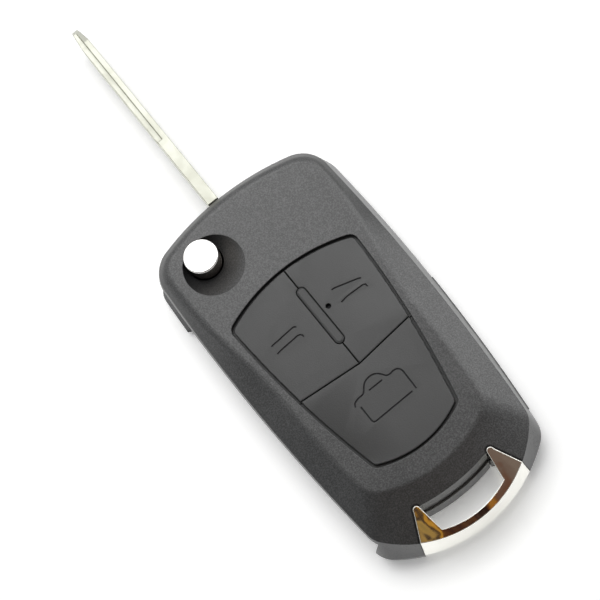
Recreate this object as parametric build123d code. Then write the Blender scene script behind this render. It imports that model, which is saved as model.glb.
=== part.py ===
from build123d import *
from math import hypot
import os

# Flip key remote shell, lying on its flat back with the blade swung out.
# Millimetres. X runs across the case, Y towards the blade, Z up from the back.
# The origin is the centre of the flat back.

# Case heights
FACE_Z = 14.5  # flat middle of the face
EDGE_Z = 12.6  # outer edge of the face, where the flanks begin
JOINT_Z = 6.4  # widest line, where the two halves meet
WALL = 1.2  # inner walls
FLOOR = 1.35  # thickness of the back

# Widest outline of the case, at the joint
HALF_WIDTH = 20.45
WIDEST_Y = 10.0
BLADE_END = 37.0
SLOT_END_IN = 8.46  # end of the folded blade's slot, inside the ring end
BLADE_CORNER_IN = 0.55  # blade-end corner, inside the half width
BLADE_CORNER_DROP = 3.4  # blade-end corner, below the end's middle
RING_CORNER_IN = 3.15
RING_CORNER_RISE = 6.3
BLADE_CORNER_R = 6.0
HINGE_CORNER_R = 3.2  # fuller corner of the lower case under the hinge
RING_CORNER_R = 4.5

# How far the other levels stand inside the widest outline
EDGE_SIDE_IN = 1.65
EDGE_END_IN = 0.7
EDGE_RING_IN = 2.3
EDGE_RING_RISE = 8.2
BELLY_Z = 2.4
BELLY_IN = 0.2
BACK_SIDE_IN = 1.75
BACK_END_IN = 1.7
BACK_EDGE_R = 1.1

# Crease between the flat middle of the face and its sloped shoulders
CREASE_END_IN = 2.3
CREASE_CORNER_IN = 3.6
CREASE_CORNER_DROP = 5.6
CREASE_NECK_IN = 3.5
CREASE_NECK_Y = 22.0
CREASE_WAIST_IN = 6.35
CREASE_WAIST_Y = 1.0
CREASE_LOWER_IN = 6.9
CREASE_LOWER_Y = -14.0
CREASE_TAIL_IN = 8.3
CREASE_TAIL_UP = 14.7  # above the ring end
CREASE_TAIL_MID_UP = 11.5
CREASE_BLADE_R = 4.5
CREASE_TAIL_R = 4.5
CREASE_SOFT_R = 2.2

# Button pad: middle of the gap round it
PAD_TOP_X = 13.6
PAD_TOP_Y = 14.0
PAD_TOP_MID_Y = 17.0
PAD_SIDE_X = 11.95
PAD_SIDE_Y = -3.8
PAD_LOW_X = 8.75
PAD_LOW_UP = 17.8  # above the ring end
PAD_LOW_MID_UP = 15.7
PAD_TOP_R = 1.5
PAD_LOW_R = 1.2
PAD_GAP = 0.46  # gap between pad and case
CAP_GAP = 0.15  # gap between one button and the next
CAP_SINK = 0.05  # buttons below the face
CAP_EDGE_R = 0.2
LIP = 1.0  # case lip over the buttons' flanges
FLANGE_OUT = 0.7
FLANGE_T = 0.4
FLANGE_PLAY = 0.1
CAP_TRAVEL = 0.6
GROOVE_MID_Y = -4.85
GROOVE_END_Y = -3.75

# Raised bar between the two upper buttons
BAR_X = 0.15
BAR_TOP_Y = 12.4
BAR_LOW_Y = 0.0
BAR_W = 1.64
BAR_SLOT_W = 1.86
BAR_PROUD = 0.2
BAR_BEVEL = 0.3  # width of the bevel round its top

# Indicator light beside the bar
LED_X = 2.25
LED_Y = 6.6
LED_R = 0.38
LED_HOLE_R = 0.5
LED_SINK = 0.8

# Frame and rubber mat under the buttons
FRAME_T = 0.7
FRAME_OUT = 1.25
FRAME_RIM_IN = 0.9
RECESS_OUT = 1.3
MAT_T = 0.7
DOME_R = 2.9
DOME_TOP_R = 1.9
DOME_WALL = 0.7
DOME_PLAY = 0.4
PEG_R = 0.7
UPPER_DOME_X = 7.2
UPPER_DOME_Y = 5.6
LOWER_DOME_Y = -12.3
PEG_X = 10.2
PEG_TOP_Y = 12.6
PEG_LOW_X = 6.0
PEG_LOW_IN = 1.7  # from the pad's lower corner

# Hinge of the blade and its press button
AXIS_IN = 10.79  # from the widest line of the left flank
AXIS_DOWN = 8.82  # from the blade end
FOLD_DEG = 183.3
BUTTON_R = 3.2
BUTTON_PROUD = 1.3
BUTTON_TRAVEL = 1.8
BUTTON_GUIDE = 3.0  # length of the button below its travel
BUTTON_EDGE_R = 0.25
BUTTON_BORE_R = 3.36
SPIGOT_R = 1.9
SPIGOT_H = 2.4
SPIGOT_PLAY = 0.02

# Thumb scoop round the press button
SCOOP_RIGHT = 0.88
SCOOP_DOWN = 2.38
SCOOP_R = 5.7
SCOOP_DEPTH = 2.4
SCOOP_LOW_R = 3.3

# Hub that carries the blade
HUB_R = 6.2
HUB_TOP_Z = 11.1
HUB_LOW_Z = 1.7
HUB_PLAY = 0.07
ARM_OUT = 9.9  # outer cheek of the blade clamp, from the axis
ARM_HALF = 4.8
ARM_EDGE_R = 0.6
FORK_IN = 5.8
FORK_END = 7.4
ARM_LOW_Z = 2.9
WEB_T = 1.0
WEB_LOW_Z = 7.4
NECK_R = 4.6
NECK_PLAY = 0.06
NECK_DROP = 0.15
CHAMBER_R = 4.7
KEYWAY_R = 5.55
KEYWAY_W = 2.2
KEY_PLAY = 0.1
STEM_R = 2.92
STEM_PLAY = 0.08
FLANGE_R = 4.5
FLANGE_H = 1.1
FLANGE_TOP_PLAY = 0.05

# Blade
BLADE_OFFSET = 8.01  # middle of the blade's thickness, from the axis
BLADE_T = 2.2
BLADE_LOW_Z = 3.0
BLADE_TOP_Z = 11.0
BLADE_OUT = 0.35  # start of the full height, beyond the case
BLADE_STEP = 16.5  # the other lengths run from that start
BLADE_STRAIGHT = 43.6
BLADE_NOSE = 46.85
BLADE_LENGTH = 48.25
BLADE_RAMP = 1.0
NOSE_MID_HALF_H = 3.1
NOSE_HALF_H = 2.0
NOSE_IN = 0.5
SHELF_DEPTH = 1.1
TANG_IN = 1.0
TANG_TAIL = 3.8
TANG_PLAY = 0.02
PIN_R = 0.8
PIN_Y = 2.6
PIN_LOW = 5.2
PIN_SINK = 0.1

# Room for the blade and its hub to swing and to lie folded
SWING_LOW_Z = 2.6
SWING_TOP_Z = 11.4
SWING_PLAY = 0.35
SLOT_END_PLAY = 0.4
FLANK_TRIM_Y = 23.5  # below this the lower flank stands back beside the folded blade

# Spring under the press button
WIRE_R = 0.3
SPRING_R = 3.9
SPRING_TURNS = 3
ANCHOR_R = 4.4
ANCHOR_LOW_Z = 1.5
ANCHOR_TOP_Z = 2.3
ANCHOR_STUB = 3.0
ANCHOR_STUB_H = 0.8
WASHER_IN_R = 4.9
WASHER_OUT_R = 6.15

# Key-ring bar and the opening behind it, heights above the ring end
HORN_X = 7.75
HORN_UP = 8.75
HORN_R = 0.62
HORN_FOOT_X = 10.7
HORN_FOOT_UP = 3.5
HORN_RUN = 6.0
HOLE_X = 6.45
HOLE_TOP_UP = 7.6
HOLE_TOP_END_UP = 8.5
HOLE_LOW_UP = 3.25
HOLE_LOW_MID_UP = 1.9
HOLE_STEP = 0.35
RINGBAR_LOW_Z = 0.8
RINGBAR_GAP = 0.1
TAB_IN = 7.9
TAB_OUT = 9.4
TAB_END_UP = 10.7
TAB_ROOT_UP = 6.6
TAB_T = 2.0
TAB_PLAY = 0.05

# Inside of the case
CAVITY_IN = 2.0
CAVITY_LOW_UP = 14.1
CAVITY_TOP_Z = 11.2
TUB_IN = 3.2

# Battery cover, the rear half of the back
COVER_TOP_Y = 1.45
COVER_LOW_UP = 10.7
COVER_PROUD = 0.15
COVER_GAP = 0.1
WELL_R = 10.3
WELL_Y = -9.0
COIN_SLOT_L = 7.0
COIN_SLOT_W = 1.6
COIN_SLOT_D = 0.6

# Screws
SCREW_R = 0.8
SCREW_HEAD_R = 1.7
SCREW_HEAD_H = 1.0
SCREW_L = 7.4
SCREW_LOW_X = 9.6
SCREW_LOW_UP = 12.1
SCREW_TOP_X = 13.4
SCREW_TOP_Y = 27.6
SCREW_TOP_SINK = 1.2
SCREW_SLOT_R = 0.8
SCREW_SLOT_D = 0.5
BOSS_R = 2.1

BIG = 120.0  # longer than any piece
NEAR = 0.01  # edges this near a height lie at it
CAP_TOP_Z = FACE_Z - CAP_SINK
LIP_Z = FACE_Z - LIP
CAP_LOW_Z = LIP_Z - FLANGE_PLAY - FLANGE_T
FRAME_TOP_Z = CAP_LOW_Z - CAP_TRAVEL - FLANGE_PLAY
FRAME_LOW_Z = FRAME_TOP_Z - FRAME_T
MAT_LOW_Z = FRAME_LOW_Z - MAT_T
BUTTON_TOP_Z = FACE_Z + BUTTON_PROUD
BUTTON_LOW_Z = BUTTON_TOP_Z - BUTTON_TRAVEL - BUTTON_GUIDE
AXIS_X = AXIS_IN - HALF_WIDTH
AXIS_Y = BLADE_END - AXIS_DOWN
BLADE_X = AXIS_X + BLADE_OFFSET
BLADE_START_Y = BLADE_END + BLADE_OUT
BLADE_TIP_Y = BLADE_START_Y + BLADE_LENGTH
BLADE_MID_Z = (BLADE_LOW_Z + BLADE_TOP_Z) / 2
SWING_R = hypot(ARM_OUT, FORK_END) + SWING_PLAY
SLOT_REACH = BLADE_TIP_Y - AXIS_Y + SLOT_END_PLAY
RING_END = SLOT_REACH - AXIS_Y + SLOT_END_IN
CREASE_TAIL_Y = CREASE_TAIL_UP - RING_END
CREASE_TAIL_MID_Y = CREASE_TAIL_MID_UP - RING_END
PAD_LOW_Y = PAD_LOW_UP - RING_END
PAD_LOW_MID_Y = PAD_LOW_MID_UP - RING_END
PEG_LOW_Y = PAD_LOW_Y + PEG_LOW_IN
HORN_Y = HORN_UP - RING_END
HORN_FOOT_Y = HORN_FOOT_UP - RING_END
HOLE_TOP_Y = HOLE_TOP_UP - RING_END
HOLE_TOP_END_Y = HOLE_TOP_END_UP - RING_END
HOLE_LOW_Y = HOLE_LOW_UP - RING_END
HOLE_LOW_MID_Y = HOLE_LOW_MID_UP - RING_END
TAB_END_Y = TAB_END_UP - RING_END
TAB_ROOT_Y = TAB_ROOT_UP - RING_END
CAVITY_LOW_Y = CAVITY_LOW_UP - RING_END
COVER_LOW_Y = COVER_LOW_UP - RING_END
SCREW_LOW_Y = SCREW_LOW_UP - RING_END
WEB_TOP_Z = WEB_LOW_Z + WEB_T
FLANGE_TOP_Z = WEB_LOW_Z - FLANGE_TOP_PLAY
FLANGE_LOW_Z = FLANGE_TOP_Z - FLANGE_H
AXIS = Pos(AXIS_X, AXIS_Y, 0)
FOLDED = AXIS * Rot(0, 0, FOLD_DEG)


def slab(low, high):
    return Pos(0, 0, low) * extrude(Rectangle(BIG * 2, BIG * 2), high - low)


def box(x0, x1, y0, y1, z0, z1):
    middle = Pos((x0 + x1) / 2, (y0 + y1) / 2, (z0 + z1) / 2)
    return middle * Box(x1 - x0, y1 - y0, z1 - z0)


def disc(radius, low, high, x=AXIS_X, y=AXIS_Y):
    return Pos(x, y, low) * extrude(Circle(radius), high - low)


def four_sides(corner, top_mid, side, tail, tail_mid, corner_r, tail_r, hinge_r=None):
    # Closed outline, the same on both sides of X = 0, from its right half
    left = [(-x, y) for x, y in side]
    top = ThreePointArc((-corner[0], corner[1]), (0, top_mid), corner)
    right = Spline(corner, *side, tail) if len(side) > 1 else ThreePointArc(corner, side[0], tail)
    low = ThreePointArc(tail, (0, tail_mid), (-tail[0], tail[1]))
    back = (-tail[0], tail[1])
    front = (-corner[0], corner[1])
    mirrored = Spline(back, *left[::-1], front) if len(side) > 1 else ThreePointArc(back, left[0], front)
    face = make_face([top, right, low, mirrored])
    ends = face.vertices().sort_by(Axis.Y)[-2:].sort_by(Axis.X)
    face = fillet(ends[-1:], corner_r)
    ends = face.vertices().sort_by(lambda v: abs(v.X + corner[0]) + abs(v.Y - corner[1]))
    face = fillet(ends[:1], hinge_r or corner_r)
    ends = face.vertices().sort_by(lambda v: abs(v.Y - tail[1]) + abs(abs(v.X) - tail[0]))
    return fillet(ends[:2], tail_r)


def case_level(side_in, end_in, ring_in, ring_rise, grow=0.0, hinge_r=None):
    # One level of the case, inside the widest outline
    half = HALF_WIDTH - side_in + grow
    top = BLADE_END - end_in + grow
    end = RING_END - end_in + grow
    corner = (half - BLADE_CORNER_IN, top - BLADE_CORNER_DROP)
    tail = (half - ring_in, ring_rise - end)
    side = [(half, WIDEST_Y)]
    return four_sides(corner, top, side, tail, -end, BLADE_CORNER_R, RING_CORNER_R, hinge_r)


def crease_level():
    # Edge of the flat middle of the face
    corner = (HALF_WIDTH - CREASE_CORNER_IN, BLADE_END - CREASE_CORNER_DROP)
    neck = (HALF_WIDTH - CREASE_NECK_IN, CREASE_NECK_Y)
    waist = (HALF_WIDTH - CREASE_WAIST_IN, CREASE_WAIST_Y)
    lower = (HALF_WIDTH - CREASE_LOWER_IN, CREASE_LOWER_Y)
    tail = (HALF_WIDTH - CREASE_TAIL_IN, CREASE_TAIL_Y)
    top = BLADE_END - CREASE_END_IN
    side = [neck, waist, lower]
    return four_sides(corner, top, side, tail, CREASE_TAIL_MID_Y, CREASE_BLADE_R, CREASE_TAIL_R)


def joint_level(inset=0.0, grow=0.0, hinge_r=None):
    return case_level(inset, inset, RING_CORNER_IN, RING_CORNER_RISE, grow, hinge_r)


def edge_level():
    return case_level(EDGE_SIDE_IN, EDGE_END_IN, EDGE_RING_IN, EDGE_RING_RISE)


def upper_blank():
    widest = Pos(0, 0, JOINT_Z) * joint_level()
    edge = Pos(0, 0, EDGE_Z) * edge_level()
    crease = Pos(0, 0, FACE_Z) * crease_level()
    flank = loft([widest, edge], ruled=True)
    shoulder = loft([edge, crease], ruled=True)
    blank = flank + shoulder
    rim = blank.edges().filter_by(lambda e: abs(e.center().Z - FACE_Z) < NEAR)
    return fillet(rim, CREASE_SOFT_R)


def lower_blank(grow=0.0):
    widest = Pos(0, 0, JOINT_Z) * joint_level(0, grow)
    belly = Pos(0, 0, BELLY_Z) * joint_level(BELLY_IN, grow, HINGE_CORNER_R)
    back_in = (BACK_SIDE_IN, BACK_END_IN, RING_CORNER_IN, RING_CORNER_RISE)
    back = case_level(*back_in, grow, HINGE_CORNER_R)
    blank = loft([back, belly], ruled=True) + loft([belly, widest], ruled=True)
    rim = blank.edges().filter_by(lambda e: abs(e.center().Z) < NEAR)
    return fillet(rim, BACK_EDGE_R)


def swing_room(wall=0.0):
    # Space that the hub, its arm and the blade pass through or lie in
    high = SWING_TOP_Z - SWING_LOW_Z
    round_hub = disc(HUB_R + SWING_PLAY + wall, SWING_LOW_Z, SWING_TOP_Z)
    sweep = disc(SWING_R + wall, SWING_LOW_Z, SWING_TOP_Z)
    low_y = AXIS_Y - ARM_HALF - SWING_PLAY * 2 - wall
    right_x = AXIS_X + ARM_OUT + SWING_PLAY + wall
    sweep = sweep & box(-BIG, right_x, low_y, BIG, SWING_LOW_Z, SWING_TOP_Z)
    corner_r = hypot(ARM_OUT, ARM_HALF) + SWING_PLAY + wall
    corners = disc(corner_r, SWING_LOW_Z, SWING_TOP_Z) & box(-BIG, BIG, low_y, BIG, 0, BIG)
    fork = box(FORK_IN - SWING_PLAY - wall, SWING_R, -ARM_HALF, FORK_END + SWING_PLAY + wall, 0, high)
    near = BLADE_OFFSET - BLADE_T / 2 - SWING_PLAY - wall
    slot = box(near, SWING_R * 2, 0, SLOT_REACH + wall, 0, high)
    folded = FOLDED * Pos(0, 0, SWING_LOW_Z) * (fork + slot)
    return round_hub + sweep + corners + folded


def pad_outline(grow):
    return four_sides(
        (PAD_TOP_X + grow, PAD_TOP_Y + grow), PAD_TOP_MID_Y + grow, [(PAD_SIDE_X + grow, PAD_SIDE_Y)],
        (PAD_LOW_X + grow, PAD_LOW_Y - grow), PAD_LOW_MID_Y - grow, PAD_TOP_R + grow, PAD_LOW_R + grow)


def rounded_bar(width):
    grow = (width - BAR_W) / 2
    length = BAR_TOP_Y - BAR_LOW_Y + grow * 2
    return Pos(BAR_X, (BAR_TOP_Y + BAR_LOW_Y) / 2) * SlotOverall(length, width, rotation=90)


def cap_cuts():
    # Gaps between the three buttons, and the opening for the raised bar
    upright = Pos(BAR_X, GROOVE_MID_Y + BIG / 2) * Rectangle(CAP_GAP, BIG)
    fall = (GROOVE_END_Y - GROOVE_MID_Y) / (PAD_SIDE_X - BAR_X)
    far = GROOVE_MID_Y + fall * BIG
    half = CAP_GAP / 2
    low = [(BAR_X, GROOVE_MID_Y - half), (BAR_X + BIG, far - half)]
    high = [(BAR_X + BIG, far + half), (BAR_X, GROOVE_MID_Y + half)]
    right = make_face(Polyline(*low, *high, close=True))
    left = mirror(Pos(-BAR_X, 0) * right, about=Plane.YZ)
    return upright + right + Pos(BAR_X, 0) * left + rounded_bar(BAR_SLOT_W)


def button_caps():
    # The plane is divided by the gaps first, then each field cuts its button from the pad
    fields = (Rectangle(BIG, BIG) - cap_cuts()).faces().sort_by(lambda f: f.center().Y)
    left, right = fields[1:].sort_by(lambda f: f.center().X)
    pad = extrude(pad_outline(-PAD_GAP / 2), CAP_TOP_Z - CAP_LOW_Z, dir=(0, 0, 1))
    flange = extrude(pad_outline(FLANGE_OUT - PAD_GAP / 2), FLANGE_T, dir=(0, 0, 1))
    solids = []
    for field in (left, right, fields[0]):
        column = extrude(field, BIG, dir=(0, 0, 1))
        body = Pos(0, 0, CAP_LOW_Z) * (pad & column)
        rim = body.edges().filter_by(lambda e: abs(e.center().Z - CAP_TOP_Z) < NEAR)
        body = fillet(rim, CAP_EDGE_R)
        solids.append(body + Pos(0, 0, CAP_LOW_Z) * (flange & column))
    lock, unlock, boot = solids
    unlock -= disc(LED_HOLE_R, 0, BIG, LED_X, LED_Y)
    return lock, unlock, boot


def dome_places():
    return [(-UPPER_DOME_X, UPPER_DOME_Y), (UPPER_DOME_X, UPPER_DOME_Y), (0, LOWER_DOME_Y)]


def peg_places():
    return [(sx * x, y) for sx in (-1, 1) for x, y in ((PEG_X, PEG_TOP_Y), (PEG_LOW_X, PEG_LOW_Y))]


def pad_frame():
    outer = pad_outline(FRAME_OUT - PAD_GAP / 2)
    inner = pad_outline(FRAME_RIM_IN - PAD_GAP / 2)
    plate = Pos(0, 0, FRAME_LOW_Z) * extrude(outer, FRAME_T, dir=(0, 0, 1))
    rim = Pos(0, 0, FRAME_TOP_Z) * extrude(outer - inner, LIP_Z - FRAME_TOP_Z, dir=(0, 0, 1))
    foot = rounded_bar(BAR_W)
    bar = Pos(0, 0, FRAME_TOP_Z) * extrude(foot, CAP_TOP_Z - FRAME_TOP_Z)
    crown = rounded_bar(BAR_W - BAR_BEVEL * 2)
    bar += loft([Pos(0, 0, CAP_TOP_Z) * foot, Pos(0, 0, FACE_Z + BAR_PROUD) * crown], ruled=True)
    frame = plate + rim + bar
    for x, y in dome_places():
        frame -= disc(DOME_R + DOME_PLAY, 0, FRAME_TOP_Z, x, y)
    for x, y in peg_places():
        frame -= disc(PEG_R, 0, FRAME_TOP_Z, x, y)
    return frame


def button_mat():
    sheet = Pos(0, 0, MAT_LOW_Z) * extrude(pad_outline(0), MAT_T, dir=(0, 0, 1))
    rise = CAP_LOW_Z - FRAME_LOW_Z
    for x, y in dome_places():
        sheet += Pos(x, y, FRAME_LOW_Z + rise / 2) * Cone(DOME_R, DOME_TOP_R, rise)
    depth = CAP_LOW_Z - DOME_WALL - MAT_LOW_Z
    hollow = Cone(DOME_R - DOME_WALL, DOME_TOP_R - DOME_WALL, depth)
    for x, y in dome_places():
        sheet -= Pos(x, y, MAT_LOW_Z + depth / 2) * hollow
    for x, y in peg_places():
        sheet += disc(PEG_R, FRAME_LOW_Z, FRAME_TOP_Z, x, y)
    return sheet


def horn_tip(side):
    return Pos(side * HORN_X, HORN_Y - HORN_R) * Circle(HORN_R)


def ring_bar_plan(grow=0.0):
    # Plan of the bar: two pointed horns joined by the bar round the end
    foot = -RING_END - HORN_RUN
    tip_y = HORN_Y - HORN_R
    outer_tip = (HORN_X + HORN_R, tip_y)
    slope = (HORN_FOOT_X - HORN_X - HORN_R) / (HORN_FOOT_Y - tip_y)
    foot_x = outer_tip[0] + slope * (foot - tip_y)
    other_tip = (-outer_tip[0], tip_y)
    body = make_face(Polyline(outer_tip, (foot_x, foot), (-foot_x, foot), other_tip, close=True))
    inner_x = HORN_X - HORN_R
    side = Line((HOLE_X, HOLE_LOW_Y), (inner_x, tip_y))
    across = Line((inner_x, tip_y), (-inner_x, tip_y))
    other = Line((-inner_x, tip_y), (-HOLE_X, HOLE_LOW_Y))
    low = ThreePointArc((-HOLE_X, HOLE_LOW_Y), (0, HOLE_LOW_MID_Y), (HOLE_X, HOLE_LOW_Y))
    hole = make_face([side, across, other, low])
    plan = body - hole + horn_tip(-1) + horn_tip(1)
    return offset(plan, grow) if grow else plan


def ring_hole(step=0.0):
    # Opening for the key ring, between the case's end wall and the bar
    end = HOLE_TOP_END_Y - step
    arch = ThreePointArc((-HORN_X, end), (0, HOLE_TOP_Y - step), (HORN_X, end))
    rest = Polyline((HORN_X, end), (HORN_X, HOLE_LOW_MID_Y), (-HORN_X, HOLE_LOW_MID_Y), (-HORN_X, end))
    return make_face([arch, rest])


def tab(side, play=0.0):
    low = JOINT_Z - TAB_T / 2 - play
    high = JOINT_Z + TAB_T / 2 + play
    near = min(side * (TAB_IN - play), side * (TAB_OUT + play))
    far = max(side * (TAB_IN - play), side * (TAB_OUT + play))
    return box(near, far, TAB_ROOT_Y, TAB_END_Y + play, low, high)


def screw_places():
    low = [(side * SCREW_LOW_X, SCREW_LOW_Y, FLOOR) for side in (-1, 1)]
    return low + [(SCREW_TOP_X, SCREW_TOP_Y, SCREW_TOP_SINK)]


def case_screws():
    screws = []
    for x, y, seat in screw_places():
        head = disc(SCREW_HEAD_R, seat, seat + SCREW_HEAD_H, x, y)
        shank = disc(SCREW_R, seat + SCREW_HEAD_H, seat + SCREW_L, x, y)
        drive = disc(SCREW_SLOT_R, seat, seat + SCREW_SLOT_D, x, y)
        screws.append(head + shank - drive)
    return Compound(children=screws)


def hub():
    arm = box(0, ARM_OUT, -ARM_HALF, ARM_HALF, ARM_LOW_Z, HUB_TOP_Z)
    fork = box(FORK_IN, ARM_OUT, ARM_HALF, FORK_END, ARM_LOW_Z, HUB_TOP_Z)
    block = arm + fork
    corners = block.edges().filter_by(Axis.Z).filter_by(lambda e: e.center().X > ARM_OUT - NEAR)
    block = AXIS * fillet(corners, ARM_EDGE_R)
    body = disc(HUB_R, HUB_LOW_Z, HUB_TOP_Z) + block
    body -= disc(CHAMBER_R, 0, WEB_LOW_Z)
    body -= disc(STEM_R + STEM_PLAY, 0, BIG)
    body -= disc(NECK_R + NECK_PLAY, WEB_TOP_Z, BIG)
    way = AXIS * box(-KEYWAY_R, KEYWAY_R, -KEYWAY_W / 2, KEYWAY_W / 2, 0, WEB_LOW_Z)
    body -= way & disc(KEYWAY_R, 0, WEB_LOW_Z)
    half = BLADE_T / 2 + TANG_PLAY
    low = BLADE_LOW_Z + TANG_IN - TANG_PLAY
    high = BLADE_TOP_Z - TANG_IN + TANG_PLAY
    tail = -TANG_TAIL - TANG_PLAY
    body -= AXIS * box(BLADE_OFFSET - half, BLADE_OFFSET + half, tail, BIG, low, high)
    return body - blade_pin()


def blade_pin():
    length = ARM_OUT - PIN_SINK - PIN_LOW
    place = AXIS * Pos(PIN_LOW + length / 2, PIN_Y, BLADE_MID_Z) * Rot(0, 90, 0)
    return place * Cylinder(PIN_R, length)


def key_blade():
    half_h = (BLADE_TOP_Z - BLADE_LOW_Z) / 2
    tang_h = half_h - TANG_IN
    nose_y = BLADE_START_Y + BLADE_STRAIGHT
    step_y = BLADE_START_Y + BLADE_STEP
    upper = [(AXIS_Y - TANG_TAIL, tang_h), (BLADE_START_Y - BLADE_RAMP, tang_h), (BLADE_START_Y, half_h)]
    upper += [(nose_y, half_h), (BLADE_START_Y + BLADE_NOSE, NOSE_MID_HALF_H), (BLADE_TIP_Y, NOSE_HALF_H)]
    lower = [(y, -h) for y, h in reversed(upper)]
    side = Plane(origin=(BLADE_X, 0, BLADE_MID_Z), x_dir=(0, 1, 0), z_dir=(1, 0, 0))
    blade = extrude(side * make_face(Polyline(*upper, *lower, close=True)), BLADE_T / 2, both=True)
    edge = BLADE_T / 2
    left = box(BLADE_X - BIG, BLADE_X, step_y, BIG, BLADE_TOP_Z - SHELF_DEPTH, BIG)
    right = box(BLADE_X, BLADE_X + BIG, step_y, BIG, -BIG, BLADE_LOW_Z + SHELF_DEPTH)
    blade -= left + right
    run = BLADE_TIP_Y - nose_y
    for turn in (1, -1):
        wedge = make_face(Polyline((edge, 0), (BIG, 0), (BIG, run), (edge - NOSE_IN, run), close=True))
        wedge = wedge if turn > 0 else mirror(wedge, about=Plane.YZ)
        blade -= Pos(BLADE_X, nose_y, 0) * extrude(wedge, BIG, dir=(0, 0, 1))
    return blade - blade_pin()


def release_button():
    body = disc(BUTTON_R, BUTTON_LOW_Z, BUTTON_TOP_Z)
    crown = body.edges().filter_by(lambda e: abs(e.center().Z - BUTTON_TOP_Z) < NEAR)
    return fillet(crown, BUTTON_EDGE_R) - disc(SPIGOT_R + SPIGOT_PLAY, 0, BUTTON_LOW_Z + SPIGOT_H)


def release_plunger():
    stem = disc(STEM_R, FLANGE_LOW_Z, BUTTON_LOW_Z)
    spigot = disc(SPIGOT_R, BUTTON_LOW_Z, BUTTON_LOW_Z + SPIGOT_H)
    flange = disc(FLANGE_R, FLANGE_LOW_Z, FLANGE_TOP_Z)
    long_half = KEYWAY_R - KEY_PLAY
    wide_half = KEYWAY_W / 2 - KEY_PLAY
    wings = AXIS * box(-long_half, long_half, -wide_half, wide_half, FLANGE_LOW_Z, FLANGE_TOP_Z)
    wings = wings & disc(long_half, FLANGE_LOW_Z, FLANGE_TOP_Z)
    return stem + spigot + flange + wings


def flip_spring():
    low = ANCHOR_TOP_Z + WIRE_R
    high = FLANGE_LOW_Z - WIRE_R
    path = Helix(pitch=(high - low) / SPRING_TURNS, height=high - low, radius=SPRING_R)
    start = Plane(origin=path @ 0, z_dir=path % 0)
    coil = sweep(start * Circle(WIRE_R), path=path)
    return Pos(AXIS_X, AXIS_Y, low) * coil


def spring_anchor():
    cup = disc(ANCHOR_R, ANCHOR_LOW_Z, ANCHOR_TOP_Z)
    half = ANCHOR_STUB / 2
    return cup + AXIS * box(-half, half, -half, half, ANCHOR_LOW_Z - ANCHOR_STUB_H, ANCHOR_LOW_Z)


def hub_washer():
    return disc(WASHER_OUT_R, ANCHOR_LOW_Z, HUB_LOW_Z) - disc(WASHER_IN_R, 0, BIG)


def cavity(inset, low, high):
    plan = offset(joint_level(), -inset)
    room = Pos(0, 0, low) * extrude(plan, high - low, dir=(0, 0, 1))
    return room - box(-BIG, BIG, -BIG, CAVITY_LOW_Y, 0, BIG) - swing_room(WALL)


def scoop():
    rim = Pos(AXIS_X + SCOOP_RIGHT, AXIS_Y - SCOOP_DOWN, FACE_Z) * Circle(SCOOP_R)
    foot = Pos(AXIS_X, AXIS_Y, FACE_Z - SCOOP_DEPTH) * Circle(SCOOP_LOW_R)
    return loft([foot, rim], ruled=True)


def ring_end_cuts(step=0.0):
    plan = ring_bar_plan(RINGBAR_GAP)
    cuts = extrude(plan, BIG, dir=(0, 0, 1)) + extrude(ring_hole(step), BIG, dir=(0, 0, 1))
    return cuts + tab(-1, TAB_PLAY) + tab(1, TAB_PLAY)


def upper_case():
    shell = upper_blank() - swing_room()
    room = cavity(CAVITY_IN + EDGE_SIDE_IN, JOINT_Z, CAVITY_TOP_Z)
    shell -= room
    recess = pad_outline(RECESS_OUT - PAD_GAP / 2)
    shell -= Pos(0, 0, CAVITY_TOP_Z) * extrude(recess, LIP_Z - CAVITY_TOP_Z, dir=(0, 0, 1))
    shell -= Pos(0, 0, LIP_Z) * extrude(pad_outline(PAD_GAP / 2), BIG, dir=(0, 0, 1))
    shell += disc(NECK_R, WEB_TOP_Z + NECK_DROP, SWING_TOP_Z)
    shell -= scoop()
    shell -= disc(BUTTON_BORE_R, JOINT_Z, BIG)
    for x, y, seat in screw_places():
        shell += disc(BOSS_R, JOINT_Z, CAVITY_TOP_Z, x, y)
    for x, y, seat in screw_places():
        shell -= disc(SCREW_R, 0, seat + SCREW_L, x, y)
    return shell - ring_end_cuts()


def tub_core(grow=0.0):
    plan = offset(joint_level(), grow - TUB_IN)
    return Pos(0, 0, FLOOR - grow) * extrude(plan, BIG, dir=(0, 0, 1))


def flank_trim():
    # The lower flank beside the folded blade stands no further out than the face
    keep = extrude(edge_level(), BIG, dir=(0, 0, 1))
    return box(-BIG, AXIS_X, AXIS_Y - SLOT_REACH, FLANK_TRIM_Y, -1, JOINT_Z) - keep


def cover_zone(gap=0.0):
    return box(-BIG, BIG, COVER_LOW_Y - gap, COVER_TOP_Y + gap, -1, JOINT_Z)


def lower_case():
    shell = lower_blank() - flank_trim()
    shell -= cover_zone(COVER_GAP) - tub_core()
    shell -= swing_room()
    shell -= cavity(TUB_IN + WALL, FLOOR + WALL, JOINT_Z)
    for x, y, seat in screw_places():
        shell += disc(BOSS_R, FLOOR, JOINT_Z, x, y)
    shell -= disc(WELL_R, FLOOR, FLOOR + WALL, 0, WELL_Y)
    shell -= disc(HUB_R + HUB_PLAY, ANCHOR_LOW_Z, JOINT_Z)
    half = ANCHOR_STUB / 2
    shell -= AXIS * box(-half, half, -half, half, ANCHOR_LOW_Z - ANCHOR_STUB_H, ANCHOR_LOW_Z)
    for x, y, seat in screw_places():
        shell -= disc(SCREW_R, 0, BIG, x, y)
        shell -= disc(SCREW_HEAD_R, 0, seat + SCREW_HEAD_H, x, y)
    return shell - ring_end_cuts(HOLE_STEP)


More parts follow.
